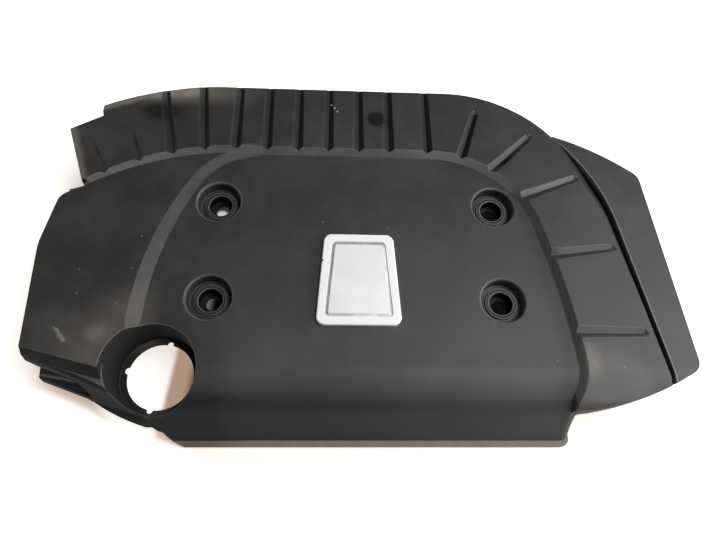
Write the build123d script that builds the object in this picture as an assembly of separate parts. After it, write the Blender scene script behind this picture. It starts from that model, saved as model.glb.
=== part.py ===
"""Engine cover: a thin-walled moulding with a grooved strip, screw wells, a filler well and a badge.

Millimetres, +Z up, +Y towards the rear of the cover. The plan is drawn about the middle of the
four screw wells, and the finished pieces are moved so that the cover's box stands on the origin.
"""
import os
from math import asin, atan, cos, degrees, dist, radians, sin, sqrt, tan

from build123d import *

# Levels and walls
panel_height = 72.0
strip_rise = 8.0
wall = 3.0
overcut = 1.0

# Front roll-over: crest line, radius and slope of the front wall, bead along its foot
crest_y = -112.0
roll_radius = 45.0
front_slope = 64.0
front_lip_out = 2.5
front_lip_height = 6.0

# Screw wells and the rubber bushes in them
screw_spacing_x = 277.5
screw_spacing_y = 101.6
well_mouth_r = 21.5
well_draft = 6.0
well_rim_chamfer = 1.2
bush_top_depth = 9.0
bush_flange_r = 15.5
bush_flange_thickness = 3.0
bush_neck_r = 13.5
bush_bore_r = 11.5
bush_bead_r = 15.0
bush_bead_height = 3.0
bush_floor_thickness = 3.0
bush_floor_depth = 20.5
bush_hole_r = 6.5
bush_clearance = 0.2

# Strip's inner wall: left bend, straight rear run, right bend, leaning run, straight front end
left_bend_x = -124.4
left_bend_r = 267.0
left_bend_end = 127.0
tip_run = (-110.0, 90.0)
bend_x = 75.0
bend_y = 1.0
bend_inner_r = 111.8
run_lean = 9.4
run_bulge = 3.0
run_turn_y = -110.0
strip_wall_run = 5.0

# Strip's rear edge and the sloped shoulder along it
rear_y = 193.6
rear_left_arc_x = -150.0
rear_notch_outer = (-271.0, 165.0)
rear_notch_inner = (-266.0, 146.0)
strip_tip_outer = (-296.5, 128.5)
strip_tip_inner = (-272.0, 64.0)
rear_bend_x = 95.0
rear_bend_r = 150.0
rear_shoulder_drop = 7.0
rear_shoulder_left = 15.0
rear_shoulder_right = 5.0

# Grooves across the strip: even pitch along the rear, where the last ones fade out, then stations
# with their own lean and length
groove_count_rear = 10
groove_first_x = 32.5
groove_pitch = 31.8
groove_last_rear_x = 72.7
groove_fan = 0.85
groove_half_width = 6.2
groove_depth = 3.6
groove_end_share = 0.72
groove_overrun = 9.0
groove_ramp = 3.5
groove_ramp_share = 0.1
groove_length = 88.0
groove_fade_from_x = -205.0
groove_fade_length = 36.0
groove_fade_share = 0.12
bend_grooves = [(72.5, -1.0, 62.0), (54.5, -11.0, 64.0), (32.0, -10.5, 64.0)]
run_grooves = [(24.3, -2.1, 66.0), (103.5, -9.6, 67.0)]

# Slit between the strip and the wing. At each angle or distance along it: width and drop of the
# strip's sloped edge, then width and depth of the gap
slit_bend_r = 188.0
slit_lean = 9.3
slit_over = 4.0
slit_bend_stations = [
    (41.0, 1.0, 0.3, 0.8, 1.0), (36.5, 4.0, 1.8, 2.0, 4.0), (30.0, 7.0, 3.5, 4.0, 8.0),
    (19.0, 7.0, 4.0, 5.0, 9.5), (slit_lean, 5.0, 3.0, 5.0, 9.5),
]
slit_run_stations = [
    (70.0, 2.5, 1.5, 4.5, 9.5), (135.0, 1.5, 1.0, 4.2, 9.5), (190.0, 1.5, 1.0, 4.5, 9.5),
]

# Wing
wing_junction_angle = 41.5
shoulder_end_angle = 38.5
wing_start = (206.5, 136.0)
wing_rear_middle = (251.0, 116.8)
wing_rear_corner = (294.5, 87.0)
wing_rear_corner_r = 14.0
wing_front_corner = (311.5, -116.5)
wing_front_corner_r = 13.0
wing_front_bend = (288.0, -129.0)
wing_front_middle = (248.0, -144.5)

# Front apron
apron_right_x = 209.5
apron_right_top_y = -151.5
apron_left_x = -163.0
apron_corner_r = 8.0
apron_end_r = 9.0
apron_end_draft = 6.5

# Diagonal front edge at the left, the bulge at the filler and the ledge beside it
diagonal_left = (-292.8, -122.5)
diagonal_corner_r = 7.0
diagonal_edge_height = 30.0
diagonal_ridge_height = 65.0
diagonal_slope = 45.0
diagonal_turn = 5.0
diagonal_pivot = 66.0
bulge_left = (-243.0, -140.2)
bulge_middle = (-217.0, -154.0)
bulge_right = (-180.0, -166.0)
bulge_end = (-174.0, -172.5)
ledge_height = 38.0
ledge_width = 11.2
ledge_rear_length = 43.7
ledge_front_length = 58.2
ledge_corner_r = 8.0

# Left panel: a plane that rises towards the front, behind a sloped band of even width
left_edge_middle = (-301.8, -1.0)
left_edge_rear = (-293.5, 53.0)
left_edge_middle_r = 60.0
left_edge_rear_r = 14.0
left_plane_hinge_y = 150.0
left_plane_rise = 1.8
band_x = 114.9
band_y = -78.6
band_r = 311.6
band_width = 11.5
band_end_angle = 140.089
band_end_gap = 26.218
band_front_angle = 198.0
band_wall_shift = 0.3

# Rims: how far the skirt comes down at each side
side_rim = 32.0
filler_rim = 26.0
rim_ramp_left = (-247.0, -241.0)
rim_ramp_right = (-188.0, -169.0)
wing_skirt = 13.0
rear_apron_left_x = -140.0
rear_apron_right_x = 90.0

# Oil filler well
filler_x = -183.5
filler_y = -118.0
filler_mouth_r = 40.5
filler_floor_r = 37.0
filler_floor_height = 37.0
filler_hole_r = 31.0
filler_notch_r = 3.2
filler_notch_count = 4
filler_notch_start = 80.0

# Badge
badge_x = 0.8
badge_rear_y = 15.0
badge_front_y = -77.5
badge_rear_width = 67.0
badge_front_width = 80.0
badge_corner_r = 8.0
badge_pocket_corner_r = 4.0
badge_recess = 1.0
badge_height = 5.0
badge_border = 8.0
badge_pocket_depth = 2.4
badge_plate_thickness = 1.6
badge_edge_r = 1.4
badge_clearance = 0.2
badge_pin_r = 2.0
badge_pin_length = 6.0
badge_pin_inset = 16.0

# Stiffening ribs under the panel
rib_thickness = 2.0
rib_depth = 8.0
rib_xs = (-90.0, 90.0)
rib_ys = (-95.0, 85.0)
rib_reach_x = 125.0
rib_reach_y = 100.0

# Reach of the cutting bodies, past every side and over the top of the cover
far = 620.0
top_clearance = 40.0
clear_top = panel_height + top_clearance


def polar(centre_x, centre_y, radius, angle):
    return (centre_x + radius * cos(radians(angle)), centre_y + radius * sin(radians(angle)))


def arc(centre_x, centre_y, radius, start, end):
    """Arc through its middle, from one angle to another."""
    middle = (start + end) / 2
    points = [polar(centre_x, centre_y, radius, angle) for angle in (start, middle, end)]
    return ThreePointArc(*points)


def ends(item):
    """First and last point of a point or an edge."""
    if isinstance(item, tuple):
        return item, item
    return tuple(item @ 0)[:2], tuple(item @ 1)[:2]


def chain(*items):
    """Closed face from points and edges: straight lines join what lies apart."""
    edges = []
    last = ends(items[-1])[1]
    for item in items:
        start, end = ends(item)
        if dist(last, start) > 1e-6:
            edges.append(Line(last, start))
        if not isinstance(item, tuple):
            edges.append(item)
        last = end
    return make_face(edges)


def block(x_range, y_range, z_range):
    """Box between two corners."""
    sizes = [high - low for low, high in (x_range, y_range, z_range)]
    corner = (x_range[0], y_range[0], z_range[0])
    return Pos(*corner) * Box(*sizes, align=Align.MIN)


def turned(*points):
    """Solid of revolution about Z from (radius, height) points."""
    return revolve(Plane.XZ * make_face(Polyline(*points, close=True)), Axis.Z)


def profile_body(grow, bottom):
    """Flat top that rolls over into the sloped front wall, as wide as any cover."""
    top = panel_height + grow
    centre_z = panel_height - roll_radius
    roll = arc(crest_y, centre_z, roll_radius + grow, 90.0, 90.0 + front_slope)
    end = roll @ 1
    foot_y = end.X - (end.Y - bottom) / tan(radians(front_slope))
    face = chain((far, bottom), (far, top), roll, (foot_y, bottom))
    return extrude(Plane.YZ.offset(-far) * face, 2 * far)


def front_foot():
    """Y of the front wall where it meets the rim plane."""
    end_y = crest_y - roll_radius * sin(radians(front_slope))
    end_z = panel_height - roll_radius * (1 - cos(radians(front_slope)))
    return end_y - end_z / tan(radians(front_slope))


def front_lip():
    """Bead along the foot of the front wall."""
    foot = front_foot()
    rear = foot + front_lip_height / tan(radians(front_slope))
    face = chain(
        (rear + wall, 0), (rear + wall, front_lip_height), (rear, front_lip_height),
        (foot - front_lip_out, front_lip_height / 2), (foot - front_lip_out, 0),
    )
    return extrude(Plane.YZ.offset(-far) * face, 2 * far)


def apron_end(inset):
    """What lies outside the rounded, drafted right end of the front wall, over its bead."""
    slope = radians(front_slope)
    lean = sin(slope) * tan(radians(apron_end_draft))
    y = front_foot() + inset / sin(slope) + front_lip_height / tan(slope)
    right = apron_right_x - inset
    radius = apron_end_r - inset
    corner = chain(
        arc(right - radius, y + radius, radius, -90.0, 0.0), (right + radius, y + radius),
        (right + radius, y - radius), (right - radius, y - radius),
    )
    along = (-lean, cos(slope), sin(slope))
    cut = extrude(Pos(0, 0, front_lip_height) * corner, panel_height, dir=along)
    return cut & block((0, far), (-far, apron_right_top_y), (0, far))


def rear_edge(left, right, end_angle):
    """Strip's rear edge from notch to wing, moved in by one distance at each end."""
    start = (rear_notch_outer[0], rear_notch_outer[1] - left)
    end = (rear_left_arc_x, rear_y - right)
    middle = ((start[0] + end[0]) / 2, end[1] - (end[1] - start[1]) / 4)
    bend = arc(rear_bend_x, rear_y - rear_bend_r, rear_bend_r - right, 90.0, end_angle)
    return ThreePointArc(start, middle, end), bend


def cover_outline():
    """Plan outline of the whole cover."""
    front_y = front_foot() - front_lip_out
    apron_right = (apron_right_x, front_y)
    apron_top = (apron_right_x, apron_right_top_y)
    outline = chain(
        strip_tip_outer, rear_notch_inner, *rear_edge(0.0, 0.0, wing_junction_angle),
        ThreePointArc(wing_start, wing_rear_middle, wing_rear_corner), wing_front_corner,
        ThreePointArc(wing_front_bend, wing_front_middle, apron_top), apron_right,
        (apron_left_x, front_y), bulge_end, ThreePointArc(bulge_right, bulge_middle, bulge_left),
        diagonal_left, left_edge_middle, left_edge_rear, strip_tip_inner,
    )
    rounded = [
        (wing_rear_corner, wing_rear_corner_r), (wing_front_corner, wing_front_corner_r),
        (apron_right, apron_corner_r), (diagonal_left, diagonal_corner_r),
        (left_edge_middle, left_edge_middle_r), (left_edge_rear, left_edge_rear_r),
    ]
    for corner, radius in rounded:
        outline = fillet(outline.vertices().sort_by_distance(corner)[0], radius)
    return outline


def strip_opening(inset):
    """Bodies over the panels, with the strip's inner wall as their side, sloped where it shows."""
    slope = strip_wall_run / strip_rise
    sideways = inset * sqrt(1 + slope**2)
    top = panel_height + strip_rise

    def face(height):
        grow = (height - top) * slope + sideways
        left_y = bend_y + bend_inner_r - left_bend_r
        left = arc(left_bend_x, left_y, left_bend_r + grow, left_bend_end, 90.0)
        bend = arc(bend_x, bend_y, bend_inner_r + grow, 90.0, run_lean)
        run_x, run_y = ends(bend)[1]
        turn_x = run_x + (run_y - run_turn_y) * tan(radians(run_lean))
        middle = ((run_x + turn_x) / 2 + run_bulge, (run_y + run_turn_y) / 2)
        run = ThreePointArc((run_x, run_y), middle, (turn_x, run_turn_y))
        tip_x, tip_y = ends(left)[0]
        outside = (tip_x + tip_run[0], tip_y + tip_run[1])
        flat = chain(
            left, bend, run, (turn_x, -far), (-far, -far), (-far, outside[1]), outside,
        )
        return Pos(0, 0, height) * flat

    low = face(panel_height - 2 * wall)
    return [loft([low, face(top + 4 * wall)], ruled=True), extrude(low, -far)]


def left_plateau(inset):
    """Left panel's plane and the band that falls from it to the central panel."""
    base = panel_height - inset
    rise = radians(left_plane_rise)
    tilted = Plane(
        origin=(0, left_plane_hinge_y, base), x_dir=(1, 0, 0), z_dir=(0, sin(rise), cos(rise)),
    )
    band_end = polar(band_x, band_y, band_r - band_end_gap, band_end_angle)
    end_x = band_end[0] - band_x
    end_y = band_end[1] - band_y
    rear_r = (band_r**2 - end_x**2 - end_y**2) / (2 * (band_r - end_y))
    rear_centre = (band_end[0], band_end[1] - rear_r)
    turn = 180.0 + degrees(atan((rear_centre[1] - band_y) / end_x))

    def face(grow, shift):
        front = arc(band_x, band_y - shift, band_r + grow, band_front_angle, turn)
        rear = arc(rear_centre[0], rear_centre[1] - shift, rear_r + grow, turn, 90.0)
        return chain(front, rear, (-far, ends(rear)[1][1]), (-far, ends(front)[0][1]))

    shift = band_wall_shift * inset
    low = Pos(0, 0, base) * face(shift, 0.0)
    high = tilted * face(shift + band_width, left_plane_hinge_y)
    return loft([low, high], ruled=True)


def along_diagonal():
    """Direction of the diagonal front edge."""
    return (Vector(*bulge_left) - Vector(*diagonal_left)).normalized()


def diagonal_wedge(inset):
    """What lies outside the steep wall and the sloped face over it at the front left."""
    along = along_diagonal()
    corner = Vector(*diagonal_left)
    low = diagonal_edge_height - inset
    rise = diagonal_ridge_height - diagonal_edge_height
    steep = atan(rise / ledge_width)
    slope = radians(diagonal_slope)
    wall_start = inset / sin(steep)
    face_start = inset / sin(slope) + ledge_width - rise / tan(slope)
    pivot = corner + along * diagonal_pivot
    sides = (
        (corner, along, wall_start, steep),
        (pivot, along.rotate(Axis.Z, diagonal_turn), face_start, slope),
    )
    bodies = []
    for origin, direction, start, angle in sides:
        plane = Plane(origin=origin, x_dir=(-direction.Y, direction.X, 0), z_dir=direction)
        foot = start - inset / tan(angle)
        end = foot + (clear_top - low) / tan(angle)
        face = chain((start - far, low), (foot, low), (end, clear_top), (start - far, clear_top))
        bodies.append(extrude(plane.offset(-far / 2) * face, far))
    return bodies


def diagonal_recess(inset):
    """What lies over the ledge beside the filler well."""
    along = along_diagonal()
    plane = Plane(
        origin=(*diagonal_left, ledge_height - inset), x_dir=(along.X, along.Y, 0), z_dir=(0, 0, 1),
    )
    slant = (ledge_front_length - ledge_rear_length) / ledge_width
    out = 2 * ledge_width
    depth = ledge_width + inset
    rear = (ledge_rear_length + inset, depth)
    face = chain((-out, -out), (rear[0] + slant * (depth + out), -out), rear, (-out, depth))
    face = fillet(face.vertices().sort_by_distance(rear)[0], ledge_corner_r)
    return extrude(plane * face, clear_top)


def rear_shoulder(inset):
    """What lies outside the sloped shoulder along the strip's rear edge."""
    low = panel_height + strip_rise - rear_shoulder_drop - inset

    def face(share):
        left = rear_shoulder_left * share + inset
        right = rear_shoulder_right * share + inset
        side, bend = rear_edge(left, right, shoulder_end_angle)
        out = polar(rear_bend_x, rear_y - rear_bend_r, far, shoulder_end_angle)
        start = (-far, ends(side)[0][1])
        return Pos(0, 0, low + rear_shoulder_drop * share) * chain(start, side, bend, out, (-far, far))

    return loft([face(0.0), face(2.0)], ruled=True)


def groove_stations():
    """Inner end, direction, length and size left at the outer end of every groove."""
    lines = []
    left_y = bend_y + bend_inner_r - left_bend_r
    xs = [groove_first_x - groove_pitch * index for index in range(groove_count_rear)]
    for x in [groove_last_rear_x] + xs:
        turn = degrees(asin(max(left_bend_x - x, 0.0) / left_bend_r))
        place = (x, left_y + left_bend_r * cos(radians(turn)))
        fades = x < groove_fade_from_x
        length = groove_fade_length if fades else groove_length
        share = groove_fade_share if fades else groove_end_share
        lines.append((place, 90.0 + groove_fan * turn, length, share))
    for angle, lean, length in bend_grooves:
        place = polar(bend_x, bend_y, bend_inner_r, angle)
        lines.append((place, angle + lean, length, groove_end_share))
    run_start = polar(bend_x, bend_y, bend_inner_r, run_lean)
    for distance, lean, length in run_grooves:
        place = polar(*run_start, distance, run_lean - 90.0)
        lines.append((place, run_lean + lean, length, groove_end_share))
    return lines


def groove(start, angle, length, share, inset):
    """V-cut across the strip, smaller towards its outer end."""
    top = panel_height + strip_rise - inset * sqrt(1 + (groove_depth / groove_half_width)**2)
    outward = Vector(cos(radians(angle)), sin(radians(angle)))

    def face(distance, size):
        x, y = polar(*start, distance, angle)
        plane = Plane(origin=(x, y, top), x_dir=(-outward.Y, outward.X, 0), z_dir=outward)
        side = 2 * groove_half_width * size
        depth = groove_depth * size
        return plane * make_face(Polyline((-side, depth), (0, -depth), (side, depth), close=True))

    end = length + inset
    sections = ((-groove_overrun, 1.0), (end - groove_ramp, share), (end, groove_ramp_share))
    return loft([face(*section) for section in sections], ruled=True)


def slit(inset):
    """Channel between strip and wing: a sloped edge on the strip's side, then an upright gap."""
    run_start = polar(bend_x, bend_y, slit_bend_r, slit_lean)
    stations = []
    for angle, *sizes in slit_bend_stations:
        stations.append((polar(bend_x, bend_y, slit_bend_r, angle), angle, sizes))
    for distance, *sizes in slit_run_stations:
        stations.append((polar(*run_start, distance, slit_lean - 90.0), slit_lean, sizes))
    faces = []
    for place, angle, (edge, drop, gap, depth) in stations:
        x, y = polar(*place, inset, angle)
        top = panel_height + strip_rise - inset
        outward = Vector(cos(radians(angle)), sin(radians(angle)))
        plane = Plane(origin=(x, y, top), x_dir=outward, z_dir=(outward.Y, -outward.X, 0))
        side = -gap - 2 * inset
        reach = side - edge * (1 + slit_over / drop)
        channel = Polyline(
            (0, -depth), (0, slit_over), (reach, slit_over), (side, -drop), (side, -depth), close=True,
        )
        faces.append(plane * make_face(channel))
    bend_count = len(slit_bend_stations)
    return [loft(faces[:bend_count]), loft(faces[bend_count - 1:], ruled=True)]


def skin(inset, bottom):
    """Solid bounded by the cover's outer skin, moved inward by an inset."""
    outline = cover_outline()
    if inset:
        outline = offset(outline, amount=-inset)
    plan = extrude(Pos(0, 0, bottom) * outline, clear_top)
    raised = profile_body(strip_rise - inset, bottom)
    for cut in strip_opening(inset):
        raised -= cut
    raised -= block((-far, apron_right_x), (-far, apron_right_top_y + inset), (-far, far))
    low = profile_body(-inset, bottom)
    if not inset:
        low += front_lip()
    body = plan & (low + raised + left_plateau(inset))
    for cut in (diagonal_wedge, diagonal_recess, rear_shoulder, slit, apron_end):
        body -= cut(inset)
    for station in groove_stations():
        body -= groove(*station, inset)
    return body


def rim_cuts():
    """What is cut away below the rim at the sides, where the skirt is short."""
    front = chain(
        (-far, -far), (-far, side_rim), (rim_ramp_left[0], side_rim), (rim_ramp_left[1], filler_rim),
        (rim_ramp_right[0], filler_rim), (rim_ramp_right[1], 0), (rim_ramp_right[1], -far),
    )
    right = block((apron_right_x, far), (-far, far), (-far, far))
    return [
        extrude(Plane.XZ * front, far),
        block((-far, rear_apron_left_x), (0, far), (-far, side_rim)),
        block((rear_apron_right_x, apron_right_x), (0, far), (-far, side_rim)),
        right & profile_body(strip_rise - wing_skirt, -far),
    ]


def screw_places():
    """Name and place of each screw well."""
    places = {}
    for row, y in (("front", -screw_spacing_y / 2), ("rear", screw_spacing_y / 2)):
        for side, x in (("left", -screw_spacing_x / 2), ("right", screw_spacing_x / 2)):
            places[f"{row}_{side}"] = (x, y)
    return places


def well_seat_height():
    return panel_height - bush_top_depth - bush_flange_thickness


def well_wall():
    """Outside of a screw well, from inside the panel down to its floor."""
    seat = well_seat_height()
    floor_r = well_mouth_r - (panel_height - seat) * tan(radians(well_draft))
    top = panel_height - wall / 2
    return turned((0, seat - wall), (floor_r + wall, seat - wall), (well_mouth_r + wall, top), (0, top))


def well_bore():
    """Opening of a screw well: tapered mouth, then the hole for the bush."""
    seat = well_seat_height()
    slope = tan(radians(well_draft))
    floor_r = well_mouth_r - (panel_height - seat) * slope
    neck = bush_neck_r + bush_clearance
    shoulder = panel_height - well_rim_chamfer
    return turned(
        (0, seat - wall - overcut), (neck, seat - wall - overcut), (neck, seat), (floor_r, seat),
        (well_mouth_r - well_rim_chamfer * slope, shoulder),
        (well_mouth_r + well_rim_chamfer + overcut, panel_height + overcut), (0, panel_height + overcut),
    )


def bush():
    """Stepped rubber bush, drawn about its own axis."""
    seat = well_seat_height()
    top = panel_height - bush_top_depth
    below = seat - wall - bush_clearance
    floor_top = panel_height - bush_floor_depth
    floor = floor_top - bush_floor_thickness
    return turned(
        (bush_hole_r, floor), (bush_neck_r, floor), (bush_neck_r, below - bush_bead_height),
        (bush_bead_r, below - bush_bead_height / 2), (bush_bead_r, below), (bush_neck_r, below),
        (bush_neck_r, seat), (bush_flange_r, seat), (bush_flange_r, top), (bush_bore_r, top),
        (bush_bore_r, floor_top), (bush_hole_r, floor_top),
    )


def filler_radius(height):
    """Radius of the filler well's tapered wall at a height."""
    slope = (filler_mouth_r - filler_floor_r) / (panel_height - filler_floor_height)
    return filler_floor_r + slope * (height - filler_floor_height)


def filler_wall():
    """Tapered outside of the filler well, taller than the panel."""
    top = clear_top
    low = filler_floor_height - wall
    return Pos(filler_x, filler_y) * turned(
        (0, low), (filler_radius(low) + wall, low), (filler_radius(top) + wall, top), (0, top),
    )


def filler_opening():
    """Tapered mouth and the notched hole in the floor of the filler well."""
    top = clear_top
    mouth = turned(
        (0, filler_floor_height), (filler_radius(filler_floor_height), filler_floor_height),
        (filler_radius(top), top), (0, top),
    )
    hole = Circle(filler_hole_r)
    for index in range(filler_notch_count):
        angle = filler_notch_start + 360.0 / filler_notch_count * index
        hole += Pos(*polar(0, 0, filler_hole_r, angle)) * Circle(filler_notch_r)
    drop = 2 * wall
    through = extrude(Pos(0, 0, filler_floor_height - drop) * hole, drop + overcut)
    return Pos(filler_x, filler_y) * (mouth + through)


def badge_outline(grow, corner_r):
    """Rounded trapezoid of the badge, larger by a margin on each side."""
    front = badge_front_width / 2 + grow
    rear = badge_rear_width / 2 + grow
    low = badge_front_y - grow
    high = badge_rear_y + grow
    face = make_face(Polyline((-front, low), (front, low), (rear, high), (-rear, high), close=True))
    return Pos(badge_x, 0) * fillet(face.vertices(), corner_r)


def badge_pins(radius, length):
    """Locating pins below the badge, one near each corner."""
    pins = []
    front = (badge_front_y + badge_pin_inset, badge_front_width)
    rear = (badge_rear_y - badge_pin_inset, badge_rear_width)
    for y, width in (front, rear):
        for side in (-1, 1):
            x = badge_x + side * (width / 2 - badge_pin_inset)
            foot = Pos(x, y, panel_height - badge_recess - length)
            pins.append(foot * Cylinder(radius, length, align=(Align.CENTER, Align.CENTER, Align.MIN)))
    return pins


def badge_frame():
    """Frame with a pocket for the plate and pins through the panel."""
    seat = panel_height - badge_recess
    body = extrude(Pos(0, 0, seat) * badge_outline(0.0, badge_corner_r), badge_height)
    body = fillet(body.faces().sort_by(Axis.Z)[-1].edges(), badge_edge_r)
    pocket_floor = seat + badge_height - badge_pocket_depth
    pocket = Pos(0, 0, pocket_floor) * badge_outline(-badge_border, badge_pocket_corner_r)
    body -= extrude(pocket, badge_pocket_depth + overcut)
    for pin in badge_pins(badge_pin_r, badge_pin_length):
        body += pin
    return body


def badge_plate():
    """Bare plate in the frame's pocket."""
    pocket_floor = panel_height - badge_recess + badge_height - badge_pocket_depth
    outline = badge_outline(-badge_border - badge_clearance, badge_pocket_corner_r)
    plate = extrude(Pos(0, 0, pocket_floor) * outline, badge_plate_thickness)
    return chamfer(plate.faces().sort_by(Axis.Z)[-1].edges(), badge_plate_thickness / 4)


def ribs():
    """Crossed ribs under the central panel."""
    top = panel_height - wall / 2
    height = (top - wall / 2 - rib_depth, top)
    half = rib_thickness / 2
    bars = [block((-rib_reach_x, rib_reach_x), (y - half, y + half), height) for y in rib_ys]
    bars += [block((x - half, x + half), (-rib_reach_y, rib_reach_y), height) for x in rib_xs]
    return bars


def cover_shell():
    """The moulding: outer skin less its hollow, with wells, rims, ribs and seats."""
    outside = skin(0.0, 0.0)
    shell = outside - skin(wall, -overcut)
    for cut in rim_cuts():
        shell -= cut
    shell += filler_wall() & outside
    shell += ribs()
    for x, y in screw_places().values():
        shell += Pos(x, y) * well_wall()
    for x, y in screw_places().values():
        shell -= Pos(x, y) * well_bore()
    shell -= filler_opening()
    seat = Pos(0, 0, panel_height - badge_recess) * badge_outline(badge_clearance, badge_corner_r)
    shell -= extrude(seat, badge_height)
    for hole in badge_pins(badge_pin_r + badge_clearance, badge_pin_length):
        shell -= hole
    return shell


def main():
    pieces = {
        "cover_shell": cover_shell(),
        "badge_frame": badge_frame(),
        "badge_plate": badge_plate(),
    }
    for name, (x, y) in screw_places().items():
        pieces[f"grommet_{name}"] = Pos(x, y) * bush()
    box = pieces["cover_shell"].bounding_box()
    middle = box.center()
    stand = Pos(-middle.X, -middle.Y, -box.min.Z)
    os.makedirs("parts", exist_ok=True)
    for name, piece in pieces.items():
        export_step(stand * piece, f"parts/{name}.step")
    print("moved by", tuple(stand.position))


main()
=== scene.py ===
import math

import bmesh
import bpy
from mathutils import Matrix, Vector


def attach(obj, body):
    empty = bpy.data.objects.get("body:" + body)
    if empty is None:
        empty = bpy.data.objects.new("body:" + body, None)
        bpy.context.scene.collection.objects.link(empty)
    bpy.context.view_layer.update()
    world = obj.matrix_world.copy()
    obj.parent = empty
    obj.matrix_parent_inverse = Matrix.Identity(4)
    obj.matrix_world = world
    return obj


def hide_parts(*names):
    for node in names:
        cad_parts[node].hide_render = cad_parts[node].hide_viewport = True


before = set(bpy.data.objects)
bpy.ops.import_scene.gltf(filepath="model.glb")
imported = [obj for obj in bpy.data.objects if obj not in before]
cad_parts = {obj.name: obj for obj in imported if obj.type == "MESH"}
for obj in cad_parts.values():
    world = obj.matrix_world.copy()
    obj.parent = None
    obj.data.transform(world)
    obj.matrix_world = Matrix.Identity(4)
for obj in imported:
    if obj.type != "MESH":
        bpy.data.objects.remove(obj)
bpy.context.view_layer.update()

scene = bpy.context.scene
MM = 0.001

# Camera of the picture, which is 722 wide and 542 high
PICTURE_WIDTH = 722
FOCAL_PIXELS = 542
SENSOR_WIDTH = 36
CAMERA_AIM = Vector((-1.696, -30.412, 72.0)) * MM
CAMERA_DISTANCE = 520 * MM
CAMERA_TILT = math.radians(23.012)
CAMERA_PAN = math.radians(-2.697)
CAMERA_ROLL = math.radians(-0.268)
NEAREST_SEEN = 10 * MM

# Studio, in metres. A softbox has a name, a bearing from +X and a height in degrees, and watts
SOFTBOXES = (
    ("right_high_softbox", 0, 60, 27),
    ("right_low_softbox", 0, 12, 38),
    ("front_right_softbox", -30, 12, 9),
    ("left_low_softbox", 180, 12, 12),
)
SOFTBOX_SIZE = 1.0
SOFTBOX_DISTANCE = 1.8
LIT_MIDDLE = Vector((0.0, 0.0, 0.05))
ROOM_LIGHT = 0.05
TABLE_HALF = 4.0

# Places on the cover, in millimetres
WELL_SPACING = (277.5, 101.6)
WELL_MIDDLE = (-4.686, -7.932)
FILLER = (-188.186, -125.932)

# Sloped band of the left panel: the circles it follows in front and at the rear, as x, y and
# radius, the y where they join, and the band's width, in millimetres
BAND_FRONT = (110.214, -86.532, 311.6)
BAND_REAR = (-108.7, 35.7, 60.9)
BAND_JOIN = 65.4
BAND_WIDTH = 11.5

# Wing's edge along the slit: a bend about a point, and a straight run, in millimetres
SLIT_BEND = (70.314, -6.932)
SLIT_R = 188.0
SLIT_RUN = ((256.3, 23.5), (287.0, -164.0))

# Dust, wear and stains as round patches: x, y, radius and softness in millimetres
STRIP_END_DUST = (222, -136, 26, 22)
FRONT_LEFT_DUST = (-268, -98, 22, 16)
FRONT_LEFT_SPOT = (-235, -97, 9, 7)
WORN_STRIP_END = (206, -119, 13, 10)
STAIN = (15, 143.5, 9.5, 1.6)
STAIN_TAIL = (28.5, 139, 5.5, 1.6)
SMUDGE = (-212, 146, 15, 8)
RED_SPECK = (-190.6, 176, 1.3, 0.5)

# Dust and wear along lines: x and y of their points, in millimetres
LEFT_SHOULDER = ((-299, 121), (-279, 64))
REAR_SHOULDER = ((-272, 153), (-228, 170), (-175, 176))
SCUFF = ((-273.5, -91.4), (-267.0, -97.5), (-262.0, -103.5))
PALE_DASHES = (((-33.9, 161.9), (-32.4, 161.0)),
               ((-30.2, 157.2), (-29.4, 156.0)),
               ((-27.0, 152.4), (-26.2, 151.6)))

# Pale specks on the moulding, in millimetres
SPECKS = ((177.9, -116.7), (235.1, -123.6), (-211.4, 0.7), (-262.3, -35.0),
          (-215.5, -32.8), (-259.9, -59.1), (-223.1, -67.9), (-39.4, 21.9))
SPECK_SPACING = 26

# Chips in the badge's frame: x, y and radius in millimetres
FRAME_CHIPS = ((-38.6, -21.5, 0.9), (-40.8, -25.5, 0.7), (-38.9, -45.0, 0.45), (-39.6, -52.5, 0.4))

# Rubber bush: radii and heights, in millimetres
BUSH_HOLE_R = 6.5
BUSH_BORE_R = 11.5
BUSH_NECK_R = 13.5
BUSH_BEAD_R = 15.0
BUSH_FLANGE_R = 15.5
BUSH_LIP_R = 17.2
BUSH_TOP = 63.0
BUSH_LIP_TOP = 60.8
BUSH_SEAT = 60.05
BUSH_BEAD_TOP = 56.8
BUSH_BEAD_MIDDLE = 55.3
BUSH_BEAD_LOW = 53.8
BUSH_FLOOR_TOP = 51.5
BUSH_FLOOR = 48.5
BUSH_EDGE_R = 0.7
BUSH_SIDES = 72

# Badge plate's sloped edge, in metres
PLATE_EDGE_WIDTH = 2.6 * MM
PLATE_EDGE_RISE = 0.55 * MM

# Rounding of the moulded edges, in metres. A face has to be ROOM_TO_ROUND times as broad, and a
# rounding takes at most END_SHARE of an edge that it runs into
COVER_ROUNDING = 0.6 * MM
FRAME_ROUNDING = 0.3 * MM
ROOM_TO_ROUND = 2.2
END_SHARE = 0.45
SMALLEST_SINE = 0.05

# Faces that meet at more than this many degrees meet in a crease. Upright edges, which rise by
# more than a share of their length, have a limit of their own, because the flats of a turned wall
# meet there
CREASE = 12
UPRIGHT_CREASE = 18
UPRIGHT_SHARE = 0.7

# Corners of a CAD mesh that are one, in metres, and faces that are flat together, in degrees
WELD_DISTANCE = 2e-6
FLAT_ANGLE = 0.3


def grey(value, warm=0.0):
    return (value * (1 + warm), value, value * (1 - warm), 1.0)


WHITE = grey(1.0)
BLACK = grey(0.0)

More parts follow.
